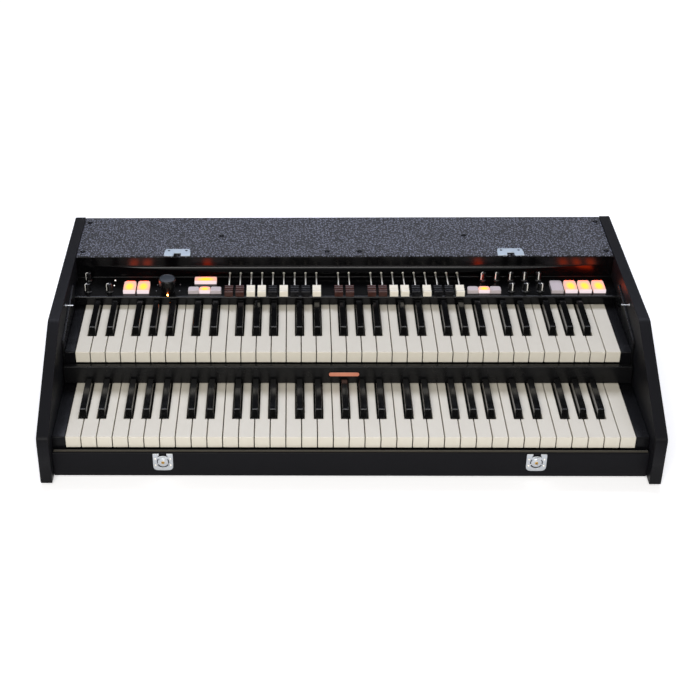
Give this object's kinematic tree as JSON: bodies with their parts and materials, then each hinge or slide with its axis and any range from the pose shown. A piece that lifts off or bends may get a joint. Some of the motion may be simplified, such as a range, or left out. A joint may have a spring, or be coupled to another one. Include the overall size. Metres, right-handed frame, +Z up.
{
  "type": "drawbar organ",
  "caption": "Portable two-manual drawbar organ with waterfall keys, sliding drawbars, knobs and lit push buttons in a black cabinet with sloped side cheeks.",
  "frame": {"origin": "centre of the footprint, on the plane the rubber feet stand on", "axes": "+X along the keys to the player's right, +Y to the back, +Z up"},
  "size_m": [0.921, 0.528, 0.176],
  "materials": {
    "pebbled_paint": "board under pebbled black paint",
    "board_black": "plain black board",
    "chassis_black": "satin black",
    "panel_gloss": "glossy black",
    "key_ivory": "satin ivory",
    "key_black": "glossy black",
    "knob_black": "satin black",
    "cap_brown": "semi-gloss brown",
    "cap_white": "semi-gloss white",
    "cap_black": "semi-gloss black",
    "lens_lit": "translucent, lit yellow",
    "lens_unlit": "translucent, unlit"
  },
  "bodies": {
    "cabinet": {"left_cheek": "pebbled_paint", "right_cheek": "pebbled_paint", "bottom_board": "board_black", "back_panel": "board_black", "top_board": "pebbled_paint", "front_rail": "pebbled_paint", "lower_keybed": "chassis_black", "upper_keybed": "chassis_black", "control_panel": "panel_gloss"},
    "drawbar_01": {"drawbar_01": "cap_brown"},
    "drawbar_02": {"drawbar_02": "cap_brown"},
    "drawbar_03": {"drawbar_03": "cap_white"},
    "drawbar_04": {"drawbar_04": "cap_white"},
    "drawbar_05": {"drawbar_05": "cap_black"},
    "drawbar_06": {"drawbar_06": "cap_white"},
    "drawbar_07": {"drawbar_07": "cap_black"},
    "drawbar_08": {"drawbar_08": "cap_black"},
    "drawbar_09": {"drawbar_09": "cap_white"},
    "drawbar_10": {"drawbar_10": "cap_brown"},
    "drawbar_11": {"drawbar_11": "cap_brown"},
    "drawbar_12": {"drawbar_12": "cap_brown"},
    "drawbar_13": {"drawbar_13": "cap_brown"},
    "drawbar_14": {"drawbar_14": "cap_white"},
    "drawbar_15": {"drawbar_15": "cap_white"},
    "drawbar_16": {"drawbar_16": "cap_black"},
    "drawbar_17": {"drawbar_17": "cap_white"},
    "drawbar_18": {"drawbar_18": "cap_black"},
    "drawbar_19": {"drawbar_19": "cap_black"},
    "drawbar_20": {"drawbar_20": "cap_white"},
    "knob_left_back": {"knob_left_back": "knob_black"},
    "knob_left_front_1": {"knob_left_front_1": "knob_black"},
    "knob_left_front_2": {"knob_left_front_2": "knob_black"},
    "knob_right_back_1": {"knob_right_back_1": "knob_black"},
    "knob_right_back_2": {"knob_right_back_2": "knob_black"},
    "knob_right_back_3": {"knob_right_back_3": "knob_black"},
    "knob_right_back_4": {"knob_right_back_4": "knob_black"},
    "knob_right_back_5": {"knob_right_back_5": "knob_black"},
    "knob_right_front_1": {"knob_right_front_1": "knob_black"},
    "knob_right_front_2": {"knob_right_front_2": "knob_black"},
    "knob_right_front_3": {"knob_right_front_3": "knob_black"},
    "selector_knob": {"selector_knob": "knob_black"},
    "button_tab_left_1": {"button_tab_left_1": "lens_lit"},
    "button_tab_left_2": {"button_tab_left_2": "lens_lit"},
    "button_tab_right_1": {"button_tab_right_1": "lens_unlit"},
    "button_tab_right_2": {"button_tab_right_2": "lens_lit"},
    "button_tab_right_3": {"button_tab_right_3": "lens_lit"},
    "button_tab_right_4": {"button_tab_right_4": "lens_lit"},
    "button_trio_left_1": {"button_trio_left_1": "lens_unlit"},
    "button_trio_left_2": {"button_trio_left_2": "lens_lit"},
    "button_trio_left_3": {"button_trio_left_3": "lens_unlit"},
    "button_trio_right_1": {"button_trio_right_1": "lens_unlit"},
    "button_trio_right_2": {"button_trio_right_2": "lens_lit"},
    "button_trio_right_3": {"button_trio_right_3": "lens_unlit"},
    "button_wide_1": {"button_wide_1": "lens_lit"},
    "lower_naturals_cegb": {"lower_naturals_cegb": "key_ivory"},
    "lower_naturals_dfa": {"lower_naturals_dfa": "key_ivory"},
    "lower_sharps": {"lower_sharps": "key_black"},
    "upper_naturals_cegb": {"upper_naturals_cegb": "key_ivory"},
    "upper_naturals_dfa": {"upper_naturals_dfa": "key_ivory"},
    "upper_sharps": {"upper_sharps": "key_black"}
  },
  "joints": [
    {"name": "drawbar_01_slide", "type": "slide", "parent": "cabinet", "child": "drawbar_01", "axis": [0, 1, 0], "range_m": [0, 0.04]},
    {"name": "drawbar_02_slide", "type": "slide", "parent": "cabinet", "child": "drawbar_02", "axis": [0, 1, 0], "range_m": [0, 0.04]},
    {"name": "drawbar_03_slide", "type": "slide", "parent": "cabinet", "child": "drawbar_03", "axis": [0, 1, 0], "range_m": [0, 0.04]},
    {"name": "drawbar_04_slide", "type": "slide", "parent": "cabinet", "child": "drawbar_04", "axis": [0, 1, 0], "range_m": [0, 0.04]},
    {"name": "drawbar_05_slide", "type": "slide", "parent": "cabinet", "child": "drawbar_05", "axis": [0, 1, 0], "range_m": [0, 0.04]},
    {"name": "drawbar_06_slide", "type": "slide", "parent": "cabinet", "child": "drawbar_06", "axis": [0, 1, 0], "range_m": [0, 0.04]},
    {"name": "drawbar_07_slide", "type": "slide", "parent": "cabinet", "child": "drawbar_07", "axis": [0, 1, 0], "range_m": [0, 0.04]},
    {"name": "drawbar_08_slide", "type": "slide", "parent": "cabinet", "child": "drawbar_08", "axis": [0, 1, 0], "range_m": [0, 0.04]},
    {"name": "drawbar_09_slide", "type": "slide", "parent": "cabinet", "child": "drawbar_09", "axis": [0, 1, 0], "range_m": [0, 0.04]},
    {"name": "drawbar_10_slide", "type": "slide", "parent": "cabinet", "child": "drawbar_10", "axis": [0, 1, 0], "range_m": [0, 0.04]},
    {"name": "drawbar_11_slide", "type": "slide", "parent": "cabinet", "child": "drawbar_11", "axis": [0, 1, 0], "range_m": [0, 0.04]},
    {"name": "drawbar_12_slide", "type": "slide", "parent": "cabinet", "child": "drawbar_12", "axis": [0, 1, 0], "range_m": [0, 0.04]},
    {"name": "drawbar_13_slide", "type": "slide", "parent": "cabinet", "child": "drawbar_13", "axis": [0, 1, 0], "range_m": [0, 0.04]},
    {"name": "drawbar_14_slide", "type": "slide", "parent": "cabinet", "child": "drawbar_14", "axis": [0, 1, 0], "range_m": [0, 0.04]},
    {"name": "drawbar_15_slide", "type": "slide", "parent": "cabinet", "child": "drawbar_15", "axis": [0, 1, 0], "range_m": [0, 0.04]},
    {"name": "drawbar_16_slide", "type": "slide", "parent": "cabinet", "child": "drawbar_16", "axis": [0, 1, 0], "range_m": [0, 0.04]},
    {"name": "drawbar_17_slide", "type": "slide", "parent": "cabinet", "child": "drawbar_17", "axis": [0, 1, 0], "range_m": [0, 0.04]},
    {"name": "drawbar_18_slide", "type": "slide", "parent": "cabinet", "child": "drawbar_18", "axis": [0, 1, 0], "range_m": [0, 0.04]},
    {"name": "drawbar_19_slide", "type": "slide", "parent": "cabinet", "child": "drawbar_19", "axis": [0, 1, 0], "range_m": [0, 0.04]},
    {"name": "drawbar_20_slide", "type": "slide", "parent": "cabinet", "child": "drawbar_20", "axis": [0, 1, 0], "range_m": [0, 0.04]},
    {"name": "knob_left_back_turn", "type": "hinge", "parent": "cabinet", "child": "knob_left_back", "pos_m": [-0.4222, 0.113, 0.135], "axis": [0, 0, 1], "range_deg": [-140, 140]},
    {"name": "knob_left_front_1_turn", "type": "hinge", "parent": "cabinet", "child": "knob_left_front_1", "pos_m": [-0.4195, 0.077, 0.135], "axis": [0, 0, 1], "range_deg": [-140, 140]},
    {"name": "knob_left_front_2_turn", "type": "hinge", "parent": "cabinet", "child": "knob_left_front_2", "pos_m": [-0.384, 0.077, 0.135], "axis": [0, 0, 1], "range_deg": [-140, 140]},
    {"name": "knob_right_back_1_turn", "type": "hinge", "parent": "cabinet", "child": "knob_right_back_1", "pos_m": [0.2295, 0.113, 0.135], "axis": [0, 0, 1], "range_deg": [-140, 140]},
    {"name": "knob_right_back_2_turn", "type": "hinge", "parent": "cabinet", "child": "knob_right_back_2", "pos_m": [0.2522, 0.113, 0.135], "axis": [0, 0, 1], "range_deg": [-140, 140]},
    {"name": "knob_right_back_3_turn", "type": "hinge", "parent": "cabinet", "child": "knob_right_back_3", "pos_m": [0.2749, 0.113, 0.135], "axis": [0, 0, 1], "range_deg": [-140, 140]},
    {"name": "knob_right_back_4_turn", "type": "hinge", "parent": "cabinet", "child": "knob_right_back_4", "pos_m": [0.2976, 0.113, 0.135], "axis": [0, 0, 1], "range_deg": [-140, 140]},
    {"name": "knob_right_back_5_turn", "type": "hinge", "parent": "cabinet", "child": "knob_right_back_5", "pos_m": [0.3203, 0.113, 0.135], "axis": [0, 0, 1], "range_deg": [-140, 140]},
    {"name": "knob_right_front_1_turn", "type": "hinge", "parent": "cabinet", "child": "knob_right_front_1", "pos_m": [0.2724, 0.077, 0.135], "axis": [0, 0, 1], "range_deg": [-140, 140]},
    {"name": "knob_right_front_2_turn", "type": "hinge", "parent": "cabinet", "child": "knob_right_front_2", "pos_m": [0.2957, 0.077, 0.135], "axis": [0, 0, 1], "range_deg": [-140, 140]},
    {"name": "knob_right_front_3_turn", "type": "hinge", "parent": "cabinet", "child": "knob_right_front_3", "pos_m": [0.319, 0.077, 0.135], "axis": [0, 0, 1], "range_deg": [-140, 140]},
    {"name": "selector_knob_turn", "type": "hinge", "parent": "cabinet", "child": "selector_knob", "pos_m": [-0.2883, 0.077, 0.135], "axis": [0, 0, 1], "range_deg": [-75, 75]},
    {"name": "button_tab_left_1_push", "type": "slide", "parent": "cabinet", "child": "button_tab_left_1", "axis": [0, 0, -1], "range_m": [0, 0.0025], "stiffness_N_per_m": 300, "springref_m": -0.002},
    {"name": "button_tab_left_2_push", "type": "slide", "parent": "cabinet", "child": "button_tab_left_2", "axis": [0, 0, -1], "range_m": [0, 0.0025], "stiffness_N_per_m": 300, "springref_m": -0.002},
    {"name": "button_tab_right_1_push", "type": "slide", "parent": "cabinet", "child": "button_tab_right_1", "axis": [0, 0, -1], "range_m": [0, 0.0025], "stiffness_N_per_m": 300, "springref_m": -0.002},
    {"name": "button_tab_right_2_push", "type": "slide", "parent": "cabinet", "child": "button_tab_right_2", "axis": [0, 0, -1], "range_m": [0, 0.0025], "stiffness_N_per_m": 300, "springref_m": -0.002},
    {"name": "button_tab_right_3_push", "type": "slide", "parent": "cabinet", "child": "button_tab_right_3", "axis": [0, 0, -1], "range_m": [0, 0.0025], "stiffness_N_per_m": 300, "springref_m": -0.002},
    {"name": "button_tab_right_4_push", "type": "slide", "parent": "cabinet", "child": "button_tab_right_4", "axis": [0, 0, -1], "range_m": [0, 0.0025], "stiffness_N_per_m": 300, "springref_m": -0.002},
    {"name": "button_trio_left_1_push", "type": "slide", "parent": "cabinet", "child": "button_trio_left_1", "axis": [0, 0, -1], "range_m": [0, 0.0025], "stiffness_N_per_m": 300, "springref_m": -0.002},
    {"name": "button_trio_left_2_push", "type": "slide", "parent": "cabinet", "child": "button_trio_left_2", "axis": [0, 0, -1], "range_m": [0, 0.0025], "stiffness_N_per_m": 300, "springref_m": -0.002},
    {"name": "button_trio_left_3_push", "type": "slide", "parent": "cabinet", "child": "button_trio_left_3", "axis": [0, 0, -1], "range_m": [0, 0.0025], "stiffness_N_per_m": 300, "springref_m": -0.002},
    {"name": "button_trio_right_1_push", "type": "slide", "parent": "cabinet", "child": "button_trio_right_1", "axis": [0, 0, -1], "range_m": [0, 0.0025], "stiffness_N_per_m": 300, "springref_m": -0.002},
    {"name": "button_trio_right_2_push", "type": "slide", "parent": "cabinet", "child": "button_trio_right_2", "axis": [0, 0, -1], "range_m": [0, 0.0025], "stiffness_N_per_m": 300, "springref_m": -0.002},
    {"name": "button_trio_right_3_push", "type": "slide", "parent": "cabinet", "child": "button_trio_right_3", "axis": [0, 0, -1], "range_m": [0, 0.0025], "stiffness_N_per_m": 300, "springref_m": -0.002},
    {"name": "button_wide_1_push", "type": "slide", "parent": "cabinet", "child": "button_wide_1", "axis": [0, 0, -1], "range_m": [0, 0.0025], "stiffness_N_per_m": 300, "springref_m": -0.002},
    {"name": "lower_naturals_cegb_hinge", "type": "hinge", "parent": "cabinet", "child": "lower_naturals_cegb", "pos_m": [0, -0.0463, 0.062], "axis": [1, 0, 0], "range_deg": [0, 3.2], "stiffness_Nm_per_rad": 14, "springref_deg": -9.17},
    {"name": "lower_naturals_dfa_hinge", "type": "hinge", "parent": "cabinet", "child": "lower_naturals_dfa", "pos_m": [0, -0.0463, 0.0525], "axis": [1, 0, 0], "range_deg": [0, 3.2], "stiffness_Nm_per_rad": 14, "springref_deg": -9.17},
    {"name": "lower_sharps_hinge", "type": "hinge", "parent": "cabinet", "child": "lower_sharps", "pos_m": [0, -0.0463, 0.043], "axis": [1, 0, 0], "range_deg": [0, 3.2], "stiffness_Nm_per_rad": 14, "springref_deg": -9.17},
    {"name": "upper_naturals_cegb_hinge", "type": "hinge", "parent": "cabinet", "child": "upper_naturals_cegb", "pos_m": [0, 0.107, 0.1135], "axis": [1, 0, 0], "range_deg": [0, 3.2], "stiffness_Nm_per_rad": 14, "springref_deg": -9.17},
    {"name": "upper_naturals_dfa_hinge", "type": "hinge", "parent": "cabinet", "child": "upper_naturals_dfa", "pos_m": [0, 0.107, 0.104], "axis": [1, 0, 0], "range_deg": [0, 3.2], "stiffness_Nm_per_rad": 14, "springref_deg": -9.17},
    {"name": "upper_sharps_hinge", "type": "hinge", "parent": "cabinet", "child": "upper_sharps", "pos_m": [0, 0.107, 0.0945], "axis": [1, 0, 0], "range_deg": [0, 3.2], "stiffness_Nm_per_rad": 14, "springref_deg": -9.17}
  ]
}
